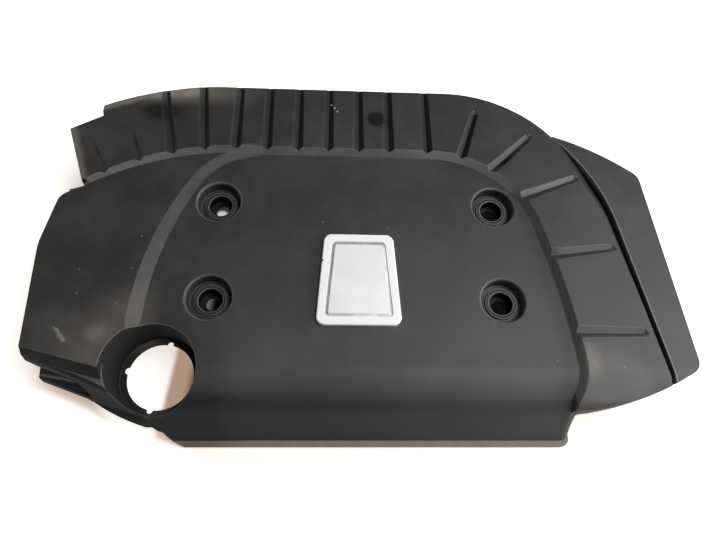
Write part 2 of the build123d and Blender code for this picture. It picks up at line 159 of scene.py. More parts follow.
# Colours of the moulding
PLASTIC_DEEP = grey(0.016, 0.03)
PLASTIC_CLOUDED = grey(0.026, 0.03)
# Dust, and painted light on the band, the crest and the right grooves
DUST_AND_PAINTED_LIGHT_GREY = grey(0.105, 0.045)
DUST_BROWN = grey(0.150, 0.13)
DUST_PALE = grey(0.24, 0.12)
# Paler tone of the strip's inner wall
WALL_PALE_TONE = grey(0.17, 0.03)
# Painted shade for faces that lie away from the light
SHADED_FRONT = grey(0.007, 0.03)
SHADED_SIDE = grey(0.010, 0.03)
SHADED_DEEP = grey(0.005)
# Wear, and the painted highlight on the wing's edge along the slit
WORN_AND_HIGHLIT_GREY = grey(0.22, 0.06)
WET_BLACK = grey(0.008)
SPECK_RED = (0.16, 0.035, 0.02, 1.0)
SPECK_PALE = grey(0.42, 0.03)
# Wear and painted highlights on the rounded edges
EDGE_WEAR_AND_HIGHLIGHT_GREY = grey(0.13, 0.03)

# Colours of the bushes and the badge
RUBBER_BLACK = grey(0.008)
RUBBER_DUSTY = grey(0.045, 0.03)
# Painted highlights on the bushes' rims and painted shade in their bores
RUBBER_RIM_HIGHLIGHT = grey(0.18, 0.03)
RUBBER_BORE_SHADE = grey(0.003)
ENAMEL_DULL = grey(0.84, 0.005)
ENAMEL_BRIGHT = grey(0.90)
ENAMEL_CHIP = grey(0.03, 0.2)
SILVER_DULL = grey(0.80)
SILVER_BRIGHT = grey(0.90, 0.01)
# Painted reflections on the plate's sloped edge
EDGE_REFLECTION_DULL = grey(0.55, 0.06)
EDGE_REFLECTION_BRIGHT = grey(0.80, 0.02)
EDGE_DARK_REFLECTION = (0.13, 0.07, 0.06, 1.0)

# Colours of the table
TABLE_PLAIN = grey(0.8)
TABLE_LIT = (0.76, 0.78, 0.80, 1.0)
# Painted shade and light on the table: in the shade near the cover, under it, and where the filler
# and the left wells look through to it
TABLE_PAINTED_SHADE = grey(0.02)
GLOW_WARM_SHADE = (0.42, 0.29, 0.20, 1.0)
GLOW_FAR = (0.75, 0.70, 0.65, 1.0)
GLOW_PAINTED_SHADE = grey(0.03)
GLOW_PAINTED_LIGHT_REAR_WELL = (0.62, 0.58, 0.55, 1.0)
GLOW_PAINTED_SHADE_FRONT_WELL = (0.20, 0.19, 0.16, 1.0)


class Wire:
    """One output of a tree's nodes. Arithmetic on it adds Math nodes."""

    def __init__(self, tree, socket):
        self.tree = tree
        self.socket = socket

    def math(self, operation, *terms):
        sockets = dict(enumerate(terms))
        return self.tree.node("ShaderNodeMath", {"operation": operation}, sockets)["Value"]

    def __add__(self, other):
        return self.math("ADD", self, other)

    def __radd__(self, other):
        return self.math("ADD", other, self)

    def __sub__(self, other):
        return self.math("SUBTRACT", self, other)

    def __rsub__(self, other):
        return self.math("SUBTRACT", other, self)

    def __mul__(self, other):
        return self.math("MULTIPLY", self, other)

    def __rmul__(self, other):
        return self.math("MULTIPLY", other, self)

    def __truediv__(self, other):
        return self.math("DIVIDE", self, other)

    def __rtruediv__(self, other):
        return self.math("DIVIDE", other, self)

    def __pow__(self, other):
        return self.math("POWER", self, other)

    def __rpow__(self, other):
        return self.math("POWER", other, self)

    def __abs__(self):
        return self.math("ABSOLUTE", self)

    def largest(self, other):
        return self.math("MAXIMUM", self, other)

    def smallest(self, other):
        return self.math("MINIMUM", self, other)

    def over(self, low, high):
        """0 below low, 1 above high, and a soft step between; low above high turns it round."""
        sockets = {"Value": self, "From Min": low, "From Max": high}
        if low > high:
            sockets.update({"From Min": high, "From Max": low, "To Min": 1.0, "To Max": 0.0})
        settings = {"interpolation_type": "SMOOTHSTEP"}
        return self.tree.node("ShaderNodeMapRange", settings, sockets)["Result"]


class Outputs:
    """A made node, whose outputs come as wires."""

    def __init__(self, tree, made):
        self.tree = tree
        self.made = made

    def __getitem__(self, key):
        return Wire(self.tree, self.made.outputs[key])


class NodeTree:
    """A node tree under construction."""

    def __init__(self, tree):
        self.tree = tree
        self.tree.nodes.clear()

    def node(self, kind, settings=None, sockets=None):
        made = self.tree.nodes.new(kind)
        for key, value in (settings or {}).items():
            setattr(made, key, value)
        for key, value in (sockets or {}).items():
            if isinstance(value, Wire):
                self.tree.links.new(value.socket, made.inputs[key])
            else:
                made.inputs[key].default_value = value
        return Outputs(self, made)


def any_of(first, *others):
    """The largest of several masks."""
    for other in others:
        first = first.largest(other)
    return first


def length(dx, dy):
    return (dx * dx + dy * dy) ** 0.5


class Finish(NodeTree):
    """A material under construction. Its places are in millimetres."""

    MIX_A, MIX_B, MIX_RESULT = 6, 7, 2
    HOOP_SOFT = 0.6

    def __init__(self, name):
        self.material = bpy.data.materials.new(name)
        self.material.use_nodes = True
        super().__init__(self.material.node_tree)
        place = self.node("ShaderNodeTexCoord")["Object"]
        scaled = {0: place, "Scale": 1 / MM}
        self.mm = self.node("ShaderNodeVectorMath", {"operation": "SCALE"}, scaled)["Vector"]
        self.x, self.y, self.z = self.parts(self.mm)
        normal = self.node("ShaderNodeNewGeometry")["Normal"]
        self.facing_x, self.facing_y, self.facing_z = self.parts(normal)

    def parts(self, vector):
        split = self.node("ShaderNodeSeparateXYZ", sockets={0: vector})
        return split["X"], split["Y"], split["Z"]

    def noise(self, size, detail=3.0, rough=0.55, stretch=(1, 1, 1), shift=0.0):
        """Noise of about 0 to 1 whose patches are about size millimetres across."""
        sockets = {"Vector": self.mm, "Scale": tuple(1 / (size * share) for share in stretch)}
        sockets["Location"] = (shift, shift, shift)
        place = self.node("ShaderNodeMapping", sockets=sockets)["Vector"]
        sockets = {"Vector": place, "Scale": 1.0, "Detail": detail, "Roughness": rough}
        return self.node("ShaderNodeTexNoise", sockets=sockets)["Fac"]

    def away_from(self, x, y):
        """Millimetres from an upright line at x, y."""
        return length(self.x - x, self.y - y)

    def away_from_well(self):
        """Millimetres from the axis of the nearest screw well."""
        dx = abs(self.x - WELL_MIDDLE[0]) - WELL_SPACING[0] / 2
        dy = abs(self.y - WELL_MIDDLE[1]) - WELL_SPACING[1] / 2
        return length(dx, dy)

    def ring(self, away, radius, half_width):
        """1 on a thin ring at a radius."""
        return abs(away - radius).over(half_width * 1.6, half_width * 0.6)

    def hoop(self, circle, width):
        """1 on a flat hoop outside a circle, which is given as x, y and radius."""
        x, y, radius = circle
        away = self.away_from(x, y)
        outside = away.over(radius - self.HOOP_SOFT, radius + self.HOOP_SOFT)
        inside = away.over(radius + width + self.HOOP_SOFT, radius + width - self.HOOP_SOFT)
        return outside * inside

    def patch(self, x, y, radius, soft, ragged=None, squash=(1.0, 1.0)):
        """1 in a round or oval patch at x, y, with a soft and perhaps ragged edge."""
        away = length((self.x - x) / squash[0], (self.y - y) / squash[1])
        if ragged is not None:
            away = away + ragged
        return away.over(radius + soft, radius - soft)

    def oblong(self, x, y, half_x, half_y):
        """Rises outwards from 0 in the middle of a rounded oblong to 1 at its edge."""
        return ((self.x - x) / half_x) ** 4 + ((self.y - y) / half_y) ** 4

    def stroke(self, start, end, half_width, soft, ragged=None):
        """1 along a straight stroke from start to end, seen from above."""
        run_x, run_y = end[0] - start[0], end[1] - start[1]
        square = run_x ** 2 + run_y ** 2
        dx = self.x - start[0]
        dy = self.y - start[1]
        share = ((dx * run_x + dy * run_y) / square).largest(0.0).smallest(1.0)
        away = length(dx - share * run_x, dy - share * run_y)
        if ragged is not None:
            away = away + ragged
        return away.over(half_width + soft, half_width)

    def line(self, points, half_width, soft, ragged=None):
        """1 along straight strokes from point to point."""
        pairs = zip(points, points[1:])
        return any_of(*[self.stroke(*pair, half_width, soft, ragged) for pair in pairs])

    def blend(self, under, over, share):
        sockets = {0: share, self.MIX_A: under, self.MIX_B: over}
        return self.node("ShaderNodeMix", {"data_type": "RGBA"}, sockets)[self.MIX_RESULT]

    def bump(self, height, distance, strength, under=None):
        sockets = {"Height": height, "Distance": distance, "Strength": strength}
        if under is not None:
            sockets["Normal"] = under
        return self.node("ShaderNodeBump", sockets=sockets)["Normal"]

    def surface(self, **sockets):
        named = {key.replace("_", " "): value for key, value in sockets.items()}
        self.output(self.node("ShaderNodeBsdfPrincipled", sockets=named)["BSDF"])
        return self.material

    def output(self, shader):
        self.node("ShaderNodeOutputMaterial", sockets={"Surface": shader})


class MouldedPlastic(Finish):
    """Masks of the dust, wear and stains on the black moulding, and of the light and shade painted
    onto it.
    """

    def __init__(self, name):
        super().__init__(name)
        self.up = self.facing_z.over(0.2, 0.9)
        self.above_panel = self.z.over(70, 73)
        self.cloud = self.noise(70, detail=4)
        self.mottle = self.noise(14, detail=5, shift=3.0)
        self.ragged = (self.noise(6, detail=3, shift=7.0) - 0.5) * 9

    def front_leaning_wall_tone(self):
        """Paler tone on the faces of the strip's inner wall that lean to the front, more to the
        right.
        """
        leaning = self.facing_y.over(-0.35, -0.6)
        thickness = 0.5 + self.mottle * 0.5 + self.x.over(20, 120) * 0.5
        return leaning * self.y.over(40, 70) * self.above_panel * thickness

    def band_painted_light(self):
        """Painted light on the left panel's sloped band, which faces the light at the right,
        stronger to the rear.
        """
        front = self.hoop(BAND_FRONT, BAND_WIDTH) * self.y.over(BAND_JOIN + 2, BAND_JOIN - 2)
        rear = self.hoop(BAND_REAR, BAND_WIDTH) * self.y.over(BAND_JOIN - 2, BAND_JOIN + 2)
        band = any_of(front, rear) * self.x.over(-98, -120) * self.z.over(71, 72)
        return band * (0.06 + self.y.over(0, 90) * 0.4)

    def crest_painted_highlight(self):
        """Painted highlight along the crest of the rolled-over front, stronger to the right."""
        leaning = self.facing_y.over(-0.03, -0.15) * self.facing_z.over(0.6, 0.85)
        return leaning * self.y.over(-95, -112) * (0.06 + self.x.over(-60, 200) * 0.34)

    def right_groove_painted_light(self):
        """Painted light on the sides of the right grooves that face the front."""
        leaning = self.facing_y.over(-0.1, -0.3) * self.facing_z.over(0.4, 0.6)
        return leaning * self.x.over(188, 198) * self.y.over(-122, -112) * self.z.over(71, 73)

    def dust_and_painted_light(self, wall):
        """Grey dust all over, thicker in front and at the strip's end, with the paler tone of the
        strip's wall and painted light on the band, the crest and the right grooves.
        """
        dust_and_painted_light = 0.05 + self.cloud.over(0.35, 0.75) * 0.11 + self.mottle.over(0.45, 0.8) * 0.08
        dust_and_painted_light = dust_and_painted_light + self.y.over(80, -130) * self.x.over(-170, -90) * 0.14
        dust_and_painted_light = dust_and_painted_light * (0.35 + self.up * 0.65)
        strip_end = self.patch(*STRIP_END_DUST, self.ragged) * self.z.over(66, 72)
        dust_and_painted_light = dust_and_painted_light + wall + strip_end * 0.9 + self.band_painted_light() + self.crest_painted_highlight()
        return dust_and_painted_light + self.right_groove_painted_light() * 0.45

    def lip_dust(self):
        """Dust on the foot lip of the front."""
        low = self.z.over(8, 5.5) * self.y.over(-165, -175)
        return low * (0.55 + self.x.over(-160, -100) * 0.45)

    def shoulder_dust(self):
        """Pale dust along the left and rear left edges."""
        left = self.line(LEFT_SHOULDER, 1.0, 7.0, self.ragged * 0.5) * 0.7
        rear = self.line(REAR_SHOULDER, 3.5, 7.0, self.ragged * 0.6)
        return any_of(left, rear) * self.z.over(66, 70) * self.facing_z.over(0.3, 0.5)

    def brown_dust(self, lip):
        """Brown dust at the left tip, the rear left, the lip, the filler well and the front left."""
        tip = self.x.over(-225, -285) * self.y.over(60, 95) * self.z.over(70, 74)
        rear_left = self.y.over(150, 172) * self.x.over(-90, -200)
        filler = self.away_from(*FILLER).over(95, 48) * self.x.over(-180, -205) * self.up
        spot = self.patch(*FRONT_LEFT_SPOT, self.ragged, squash=(1.3, 0.8))
        front_left = any_of(self.patch(*FRONT_LEFT_DUST, self.ragged) * 0.3, spot)
        brown = tip * 0.12 + rear_left * 1.1 + lip * 0.75 + filler * 0.5 + front_left * 0.45
        return (brown * (0.45 + self.mottle * 0.9)).smallest(1.0)

    # Masks of the front face and the low left slope, which take painted shade and more roughness
    def front_face(self):
        return self.facing_y.over(-0.45, -0.8) * self.y.over(-120, -140) * self.z.over(5.5, 8)

    def low_left_slope(self):
        return self.x.over(-95, -140) * self.y.over(-30, -90) * self.facing_z.over(0.93, 0.7)

    def painted_shade(self, colour, front, low_left):
        """Paints shade onto the front, the low left, the ledge, the slit's side and the sides of the
        rear grooves.
        """
        ledge = self.x.over(-185, -205) * self.y.over(-90, -110) * self.z.over(46, 40)
        slit_side = self.facing_x.over(0.12, 0.3) * self.facing_z.over(0.5, 0.7)
        slit_side = slit_side * self.x.over(185, 200) * self.above_panel
        groove = self.y.over(84, 92) * self.x.over(175, 150) * self.z.over(70, 74)
        groove = groove * self.facing_y.over(-0.4, -0.2)
        groove_left = groove * self.facing_x.over(0.12, 0.4)
        groove_right = groove * self.facing_x.over(-0.12, -0.35)
        colour = self.blend(colour, SHADED_FRONT, front * self.x.over(220, -60) * 0.85)
        colour = self.blend(colour, SHADED_DEEP, any_of(low_left, ledge) * 0.9)
        colour = self.blend(colour, SHADED_SIDE, slit_side * 0.6)
        colour = self.blend(colour, SHADED_SIDE, groove_left * 0.8)
        return self.blend(colour, SHADED_DEEP, groove_right)

    def wear(self):
        """The strip's worn end, a scuff on the left panel, and a painted highlight on the wing's
        edge along the slit.
        """
        worn = self.patch(*WORN_STRIP_END, self.ragged * 1.3, squash=(0.6, 1.15))
        worn = worn * self.z.over(76, 79) * (0.15 + self.mottle * 0.4)
        scuff = self.line(SCUFF, 0.2, 2.2, self.ragged * 0.6) * 0.6
        bend = self.ring(self.away_from(*SLIT_BEND), SLIT_R + 0.5, 0.5)
        bend = bend * self.y.over(21, 24) * self.x.over(204, 216)
        slit_edge_highlight = any_of(bend, self.stroke(*SLIT_RUN, 0.5, 0.4))
        slit_edge_highlight = slit_edge_highlight * self.above_panel * (0.3 + self.mottle * 0.4)
        return any_of(worn, scuff, slit_edge_highlight)

    def wet_stains(self):
        stain = self.patch(*STAIN, self.ragged * 0.25)
        tail = self.patch(*STAIN_TAIL, self.ragged * 0.3, squash=(0.6, 1.3))
        smudge = self.patch(*SMUDGE, self.ragged, squash=(1.2, 0.7)) * 0.75
        return any_of(stain, tail, smudge) * self.z.over(74, 78)

    def pale_specks(self):
        """Three dashes, some placed specks and a few scattered ones."""
        dashes = [self.stroke(*dash, 0.35, 0.5) for dash in PALE_DASHES]
        placed = [self.patch(*speck, 0.45, 0.3, self.ragged * 0.05) * 0.7 for speck in SPECKS]
        sockets = {"Vector": self.mm, "Scale": 1 / SPECK_SPACING, "Randomness": 1.0}
        cells = self.node("ShaderNodeTexVoronoi", {"feature": "F1"}, sockets)
        chance = self.parts(cells["Color"])[0]
        scattered = cells["Distance"].over(0.024, 0.016) * chance.over(0.82, 0.84) * 0.7
        return any_of(*dashes, *placed, scattered) * self.up

    def edge_wear_and_highlights(self):
        """Wear and painted highlights on the rounded edges: more on the right, at the wells and at
        the filler well.
        """
        everywhere = 0.10 + self.x.over(195, 205) * 0.25
        wells = self.away_from_well().over(26, 24) * 0.45
        filler = self.away_from(*FILLER).over(46, 43) * self.z.over(36, 42) * 0.6
        return any_of(everywhere, wells, filler)


def moulded_plastic(name, edge=False):
    """Black grained moulding, filmed with dust, with a few stains, scuffs and specks, and with
    painted light and shade on some of its faces and edges.
    """
    f = MouldedPlastic(name)
    wall = f.front_leaning_wall_tone()
    lip = f.lip_dust()
    dust_and_painted_light = f.dust_and_painted_light(wall)
    brown = f.brown_dust(lip)
    pale = any_of(f.shoulder_dust() * 0.75, lip * 0.6) * (0.4 + f.mottle * 0.6)
    front = f.front_face()
    low_left = f.low_left_slope()
    wet = f.wet_stains()

    colour = f.blend(PLASTIC_DEEP, PLASTIC_CLOUDED, f.cloud)
    # Dust, and painted light on the band, the crest and the right grooves
    colour = f.blend(colour, DUST_AND_PAINTED_LIGHT_GREY, dust_and_painted_light.smallest(1.0))
    colour = f.blend(colour, DUST_BROWN, brown * 0.75)
    colour = f.blend(colour, DUST_PALE, pale.smallest(0.85))
    # Paler tone of the strip's inner wall
    colour = f.blend(colour, WALL_PALE_TONE, wall * f.x.over(40, 110) * 0.5)
    # Painted shade on the faces that lie away from the light
    colour = f.painted_shade(colour, front, low_left)
    # Wear, and the painted highlight on the wing's edge along the slit
    colour = f.blend(colour, WORN_AND_HIGHLIT_GREY, f.wear())
    colour = f.blend(colour, WET_BLACK, wet)
    colour = f.blend(colour, SPECK_RED, f.patch(*RED_SPECK, f.ragged * 0.1))
    colour = f.blend(colour, SPECK_PALE, f.pale_specks())
    if edge:
        # Wear and painted highlights on the rounded edges
        colour = f.blend(colour, EDGE_WEAR_AND_HIGHLIGHT_GREY, f.edge_wear_and_highlights())

    rough = 0.46 + dust_and_painted_light * 0.25 + brown * 0.2 - wet * 0.14 + f.mottle * 0.06
    rough = rough + any_of(front, low_left * 1.5) * 0.25
    grain = f.noise(0.55, detail=2, rough=0.6) * 0.6 + f.noise(1.6, detail=2, shift=5.0) * 0.4
    wave = f.noise(38, detail=1, shift=11.0)
    normal = f.bump(wave, 0.0006, 0.25)
    normal = f.bump(grain, 0.00016, 0.45, normal)
    return f.surface(Base_Color=colour, Roughness=rough, Normal=normal, Specular_IOR_Level=0.34)


def bush_rubber():
    """Dull black rubber with dust on its upward faces, painted highlights on its rims, stronger to
    the right, and painted shade in its bore.
    """
    f = Finish("bush_rubber")
    up = f.facing_z.over(0.3, 0.95)
    mottle = f.noise(5, detail=4)
    away = f.away_from_well()
    rim_radii = (BUSH_FLANGE_R - 0.3, BUSH_LIP_R - 0.3, BUSH_BORE_R + 0.4)
    rim_highlights = any_of(*[f.ring(away, radius, 0.4) for radius in rim_radii])
    # Painted highlights on the rims, stronger to the right
    rim_highlights = rim_highlights * f.z.over(60.2, 60.6) * (0.25 + mottle * 0.5 + f.x.over(-50, 50) * 0.4)
    # Painted shade in the bore
    bore_shade = f.z.over(62.0, 60.5) * away.over(12.2, 11.9)
    colour = f.blend(RUBBER_BLACK, RUBBER_DUSTY, up * (0.3 + mottle * 0.6))
    colour = f.blend(colour, RUBBER_RIM_HIGHLIGHT, rim_highlights.smallest(1.0))
    colour = f.blend(colour, RUBBER_BORE_SHADE, bore_shade)
    rough = 0.5 + mottle * 0.2
    normal = f.bump(f.noise(0.8, detail=3), 0.0001, 0.4)
    return f.surface(Base_Color=colour, Roughness=rough, Normal=normal, Specular_IOR_Level=0.22)


def frame_enamel():
    """Pale silver-white enamel, faintly uneven, with a few chips."""
    f = Finish("frame_enamel")
    cloud = f.noise(18, detail=3)
    ragged = (f.noise(1.5, detail=3) - 0.5) * 2
    colour = f.blend(ENAMEL_DULL, ENAMEL_BRIGHT, cloud)
    for x, y, radius in FRAME_CHIPS:
        chip = f.patch(x, y, radius, 0.25, ragged, squash=(0.7, 1.3))
        colour = f.blend(colour, ENAMEL_CHIP, chip)
    rough = 0.22 + cloud * 0.1
    normal = f.bump(f.noise(7, detail=2), 0.0002, 0.15)
    return f.surface(Base_Color=colour, Roughness=rough, Normal=normal, Coat_Weight=0.4)


def plate_silver():
    """Silvered plate, softly brushed across, with some dulled patches."""
    f = Finish("plate_silver")
    brushed = f.noise(1.2, detail=3, stretch=(14.0, 1.0, 1.0))
    dull = f.noise(20, detail=4)
    colour = f.blend(SILVER_DULL, SILVER_BRIGHT, dull)
    rough = 0.30 + dull * 0.15
    normal = f.bump(brushed, 0.00008, 0.3)
    return f.surface(Base_Color=colour, Metallic=0.2, Roughness=rough, Normal=normal)


def plate_edge():
    """Bright sloped edge of the plate, with painted reflections in patches and a painted dark brown
    reflection at its right.
    """
    f = Finish("plate_edge")
    dull = f.noise(9, detail=3)
    # Painted dark reflection at the plate edge's right
    dark_reflection = f.x.over(20, 30) * f.y.over(20, 0) * (0.4 + dull * 0.8)
    dark_reflection = dark_reflection.smallest(1.0)
    # Painted reflections in patches
    colour = f.blend(EDGE_REFLECTION_DULL, EDGE_REFLECTION_BRIGHT, dull.over(0.2, 0.8))
    colour = f.blend(colour, EDGE_DARK_REFLECTION, dark_reflection * 0.9)
    metal = 0.6 - dark_reflection * 0.6
    rough = 0.25 + dull * 0.15 + dark_reflection * 0.3
    return f.surface(Base_Color=colour, Metallic=metal, Roughness=rough)


def merged_copy(node, name):
    """A welded copy of a CAD node's mesh, with its flat faces made whole."""
    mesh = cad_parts[node].data.copy()
    mesh.name = name
    shape = bmesh.new()
    shape.from_mesh(mesh)
    bmesh.ops.remove_doubles(shape, verts=shape.verts, dist=WELD_DISTANCE)
    bmesh.ops.dissolve_limit(shape, angle_limit=math.radians(FLAT_ANGLE),
                             verts=shape.verts, edges=shape.edges)
    shape.to_mesh(mesh)
    shape.free()
    mesh.materials.clear()
    piece = bpy.data.objects.new(name, mesh)
    scene.collection.objects.link(piece)
    return piece


def settle(piece):
    """Turns a piece's modifiers into a plain mesh."""
    evaluated = piece.evaluated_get(bpy.context.evaluated_depsgraph_get())
    mesh = bpy.data.meshes.new_from_object(evaluated)
    piece.modifiers.clear()
    piece.data = mesh
    return piece


def breadth(face, edge):
    """How far a face reaches from one of its edges."""
    start = edge.verts[0].co
    along = (edge.verts[1].co - start).normalized()
    arms = [corner.co - start for corner in face.verts]
    return max((arm - along * arm.dot(along)).length for arm in arms)


def cramped_edges(shape, chosen, width):
    """Edges whose rounding would run past the end of an edge beside them."""
    cramped = set()
    for face in shape.faces:
        for corner in face.loops:
            pair = (corner.edge, corner.link_loop_prev.edge)
            rounded_here = [edge for edge in pair if edge in chosen]
            angle = corner.calc_angle()
            if len(rounded_here) == 2:
                reach = width / math.tan(angle / 2)
                short = reach > END_SHARE * min(edge.calc_length() for edge in pair)
            elif rounded_here:
                other = pair[1] if pair[0] in chosen else pair[0]
                reach = width / max(math.sin(angle), SMALLEST_SINE)
                short = reach > END_SHARE * other.calc_length()
            if rounded_here and short:
                cramped.update(rounded_here)
    return cramped


def is_crease(edge):
    rise = abs(edge.verts[0].co.z - edge.verts[1].co.z)
    upright = rise > UPRIGHT_SHARE * edge.calc_length()
    return edge.calc_face_angle() > math.radians(UPRIGHT_CREASE if upright else CREASE)


def edges_to_round(shape, width):
    """Creases with room beside them and at their ends. The other creases stay sharp."""
    creases = [edge for edge in shape.edges if is_crease(edge)]
    chosen = set()
    for edge in creases:
        if min(breadth(face, edge) for face in edge.link_faces) > ROOM_TO_ROUND * width:
            chosen.add(edge)
    cramped = cramped_edges(shape, chosen, width)
    while cramped:
        chosen -= cramped
        cramped = cramped_edges(shape, chosen, width)
    for edge in creases:
        edge.smooth = edge in chosen
    return [edge for edge in creases if edge in chosen]


def soften(piece, width, materials):
    """Rounds the creases that have room for it; the rounding takes the last material."""
    for material in materials:
        piece.data.materials.append(material)
    shape = bmesh.new()
    shape.from_mesh(piece.data)
    for face in shape.faces:
        face.smooth = True
    chosen = edges_to_round(shape, width)
    bmesh.ops.bevel(shape, geom=chosen, offset=width, offset_type="OFFSET", segments=2, profile=0.6,
                    affect="EDGES", clamp_overlap=False, material=len(materials) - 1)
    shape.to_mesh(piece.data)
    shape.free()
    shading = piece.modifiers.new("shading", "WEIGHTED_NORMAL")
    shading.mode = "FACE_AREA"
    shading.keep_sharp = True
    return settle(piece)


def rounded(corners, radius, steps=3):
    """A closed outline with each corner cut by a short curve."""
    befores = corners[-1:] + corners[:-1]
    afters = corners[1:] + corners[:1]
    outline = []
    for before, corner, after in zip(befores, corners, afters):
        ends = []
        for other in (before, after):
            arm = other - corner
            ends.append(corner + arm.normalized() * min(radius, END_SHARE * arm.length))
        for step in range(steps + 1):
            share = step / steps
            first = ends[0].lerp(corner, share)
            outline.append(first.lerp(corner.lerp(ends[1], share), share))
    return outline


def turned(name, outline, sides):
    """A mesh of an outline, as radius and height in millimetres, turned about the upright axis."""
    count = len(outline)
    places = []
    faces = []
    for side in range(sides):
        angle = 2 * math.pi * side / sides
        for point in outline:
            place = Vector((point.x * math.cos(angle), point.x * math.sin(angle), point.y))
            places.append(place * MM)
        here, there = side * count, (side + 1) % sides * count
        for low in range(count):
            high = (low + 1) % count
            faces.append((here + low, there + low, there + high, here + high))
    mesh = bpy.data.meshes.new(name)
    mesh.from_pydata(places, [], faces)
    shape = bmesh.new()
    shape.from_mesh(mesh)
    bmesh.ops.recalc_face_normals(shape, faces=shape.faces)
    for face in shape.faces:
        face.smooth = True
    shape.to_mesh(mesh)
    shape.free()
    return mesh


def bush_pattern():
    """Node tree that sets a bush in each of the four wells."""
    group = bpy.data.node_groups.new("bush_pattern", "GeometryNodeTree")
    inputs = {"Geometry": "Geometry", "Spacing X": "Float", "Spacing Y": "Float",
              "Middle": "Vector", "Rubber": "Material"}
    for name, kind in inputs.items():
        group.interface.new_socket(name, in_out="INPUT", socket_type="NodeSocket" + kind)
    group.interface.new_socket("Geometry", in_out="OUTPUT", socket_type="NodeSocketGeometry")

    tree = NodeTree(group)
    given = tree.node("NodeGroupInput")
    sockets = {"Size X": given["Spacing X"], "Size Y": given["Spacing Y"],
               "Vertices X": 2, "Vertices Y": 2}
    grid = tree.node("GeometryNodeMeshGrid", sockets=sockets)["Mesh"]
    sockets = {"Geometry": grid, "Translation": given["Middle"]}
    wells = tree.node("GeometryNodeTransform", sockets=sockets)["Geometry"]
    sockets = {"Points": wells, "Instance": given["Geometry"]}
    placed = tree.node("GeometryNodeInstanceOnPoints", sockets=sockets)["Instances"]
    real = tree.node("GeometryNodeRealizeInstances", sockets={"Geometry": placed})["Geometry"]
    sockets = {"Geometry": real, "Material": given["Rubber"]}
    dressed = tree.node("GeometryNodeSetMaterial", sockets=sockets)["Geometry"]
    tree.node("NodeGroupOutput", sockets={"Geometry": dressed})
    return group


def rubber_bushes(rubber):
    """The four stepped rubber bushes, one shape set in each well."""
    corners = [
        (BUSH_HOLE_R, BUSH_FLOOR), (BUSH_NECK_R, BUSH_FLOOR), (BUSH_NECK_R, BUSH_BEAD_LOW),
        (BUSH_BEAD_R, BUSH_BEAD_MIDDLE), (BUSH_BEAD_R, BUSH_BEAD_TOP), (BUSH_NECK_R, BUSH_BEAD_TOP),
        (BUSH_NECK_R, BUSH_SEAT), (BUSH_LIP_R, BUSH_SEAT), (BUSH_LIP_R, BUSH_LIP_TOP),
        (BUSH_FLANGE_R, BUSH_LIP_TOP), (BUSH_FLANGE_R, BUSH_TOP), (BUSH_BORE_R, BUSH_TOP),
        (BUSH_BORE_R, BUSH_FLOOR_TOP), (BUSH_HOLE_R, BUSH_FLOOR_TOP),
    ]
    outline = rounded([Vector(corner) for corner in corners], BUSH_EDGE_R)
    bushes = bpy.data.objects.new("rubber_bushes", turned("rubber_bush", outline, BUSH_SIDES))
    scene.collection.objects.link(bushes)
    pattern = bushes.modifiers.new("pattern", "NODES")
    pattern.node_group = bush_pattern()
    sizes = {"Spacing X": WELL_SPACING[0] * MM, "Spacing Y": WELL_SPACING[1] * MM,
             "Middle": (WELL_MIDDLE[0] * MM, WELL_MIDDLE[1] * MM, 0.0), "Rubber": rubber}
    for socket in pattern.node_group.interface.items_tree:
        if socket.in_out == "INPUT" and socket.name in sizes:
            pattern[socket.identifier] = sizes[socket.name]
    return settle(bushes)


def badge_plate(silver, edge):
    """The bare plate, with a raised middle inside a sloped bright edge."""
    plate = merged_copy("badge_plate", "badge_blank")
    plate.data.materials.append(silver)
    plate.data.materials.append(edge)
    shape = bmesh.new()
    shape.from_mesh(plate.data)
    top = max(shape.faces, key=lambda face: face.calc_center_median().z)
    rim = bmesh.ops.inset_region(shape, faces=[top], thickness=PLATE_EDGE_WIDTH,
                                 depth=PLATE_EDGE_RISE, use_even_offset=True)
    for face in rim["faces"]:
        face.material_index = 1
    shape.to_mesh(plate.data)
    shape.free()
    return plate


def hand_in(piece, slot, *nodes):
    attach(piece, "root")
    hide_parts(*nodes)


def set_camera():
    back = Vector((math.sin(CAMERA_PAN),
                   -math.sin(CAMERA_TILT) * math.cos(CAMERA_PAN),
                   math.cos(CAMERA_TILT) * math.cos(CAMERA_PAN))).normalized()
    right = (-back).cross(Vector((0, 1, 0))).normalized()
    up = right.cross(-back)
    turn_right = math.cos(CAMERA_ROLL) * right + math.sin(CAMERA_ROLL) * up
    turn_up = math.cos(CAMERA_ROLL) * up - math.sin(CAMERA_ROLL) * right
    lens = bpy.data.cameras.new("picture_camera")
    lens.sensor_width = SENSOR_WIDTH
    lens.lens = SENSOR_WIDTH * FOCAL_PIXELS / PICTURE_WIDTH
    lens.clip_start = NEAREST_SEEN
    camera = bpy.data.objects.new("picture_camera", lens)
    axes = Matrix((turn_right, turn_up, back)).transposed().to_4x4()
    camera.matrix_world = Matrix.Translation(CAMERA_AIM + back * CAMERA_DISTANCE) @ axes
    scene.collection.objects.link(camera)
    scene.camera = camera


def set_world():
    """A dim white room, which the camera sees as plain white."""
    world = bpy.data.worlds.new("studio")
    world.use_nodes = True
    tree = NodeTree(world.node_tree)
    seen = tree.node("ShaderNodeLightPath")["Is Camera Ray"]
    strength = ROOM_LIGHT + seen * (1 - ROOM_LIGHT)
    sockets = {"Color": WHITE, "Strength": strength}
    background = tree.node("ShaderNodeBackground", sockets=sockets)["Background"]
    tree.node("ShaderNodeOutputWorld", sockets={"Surface": background})
    scene.world = world


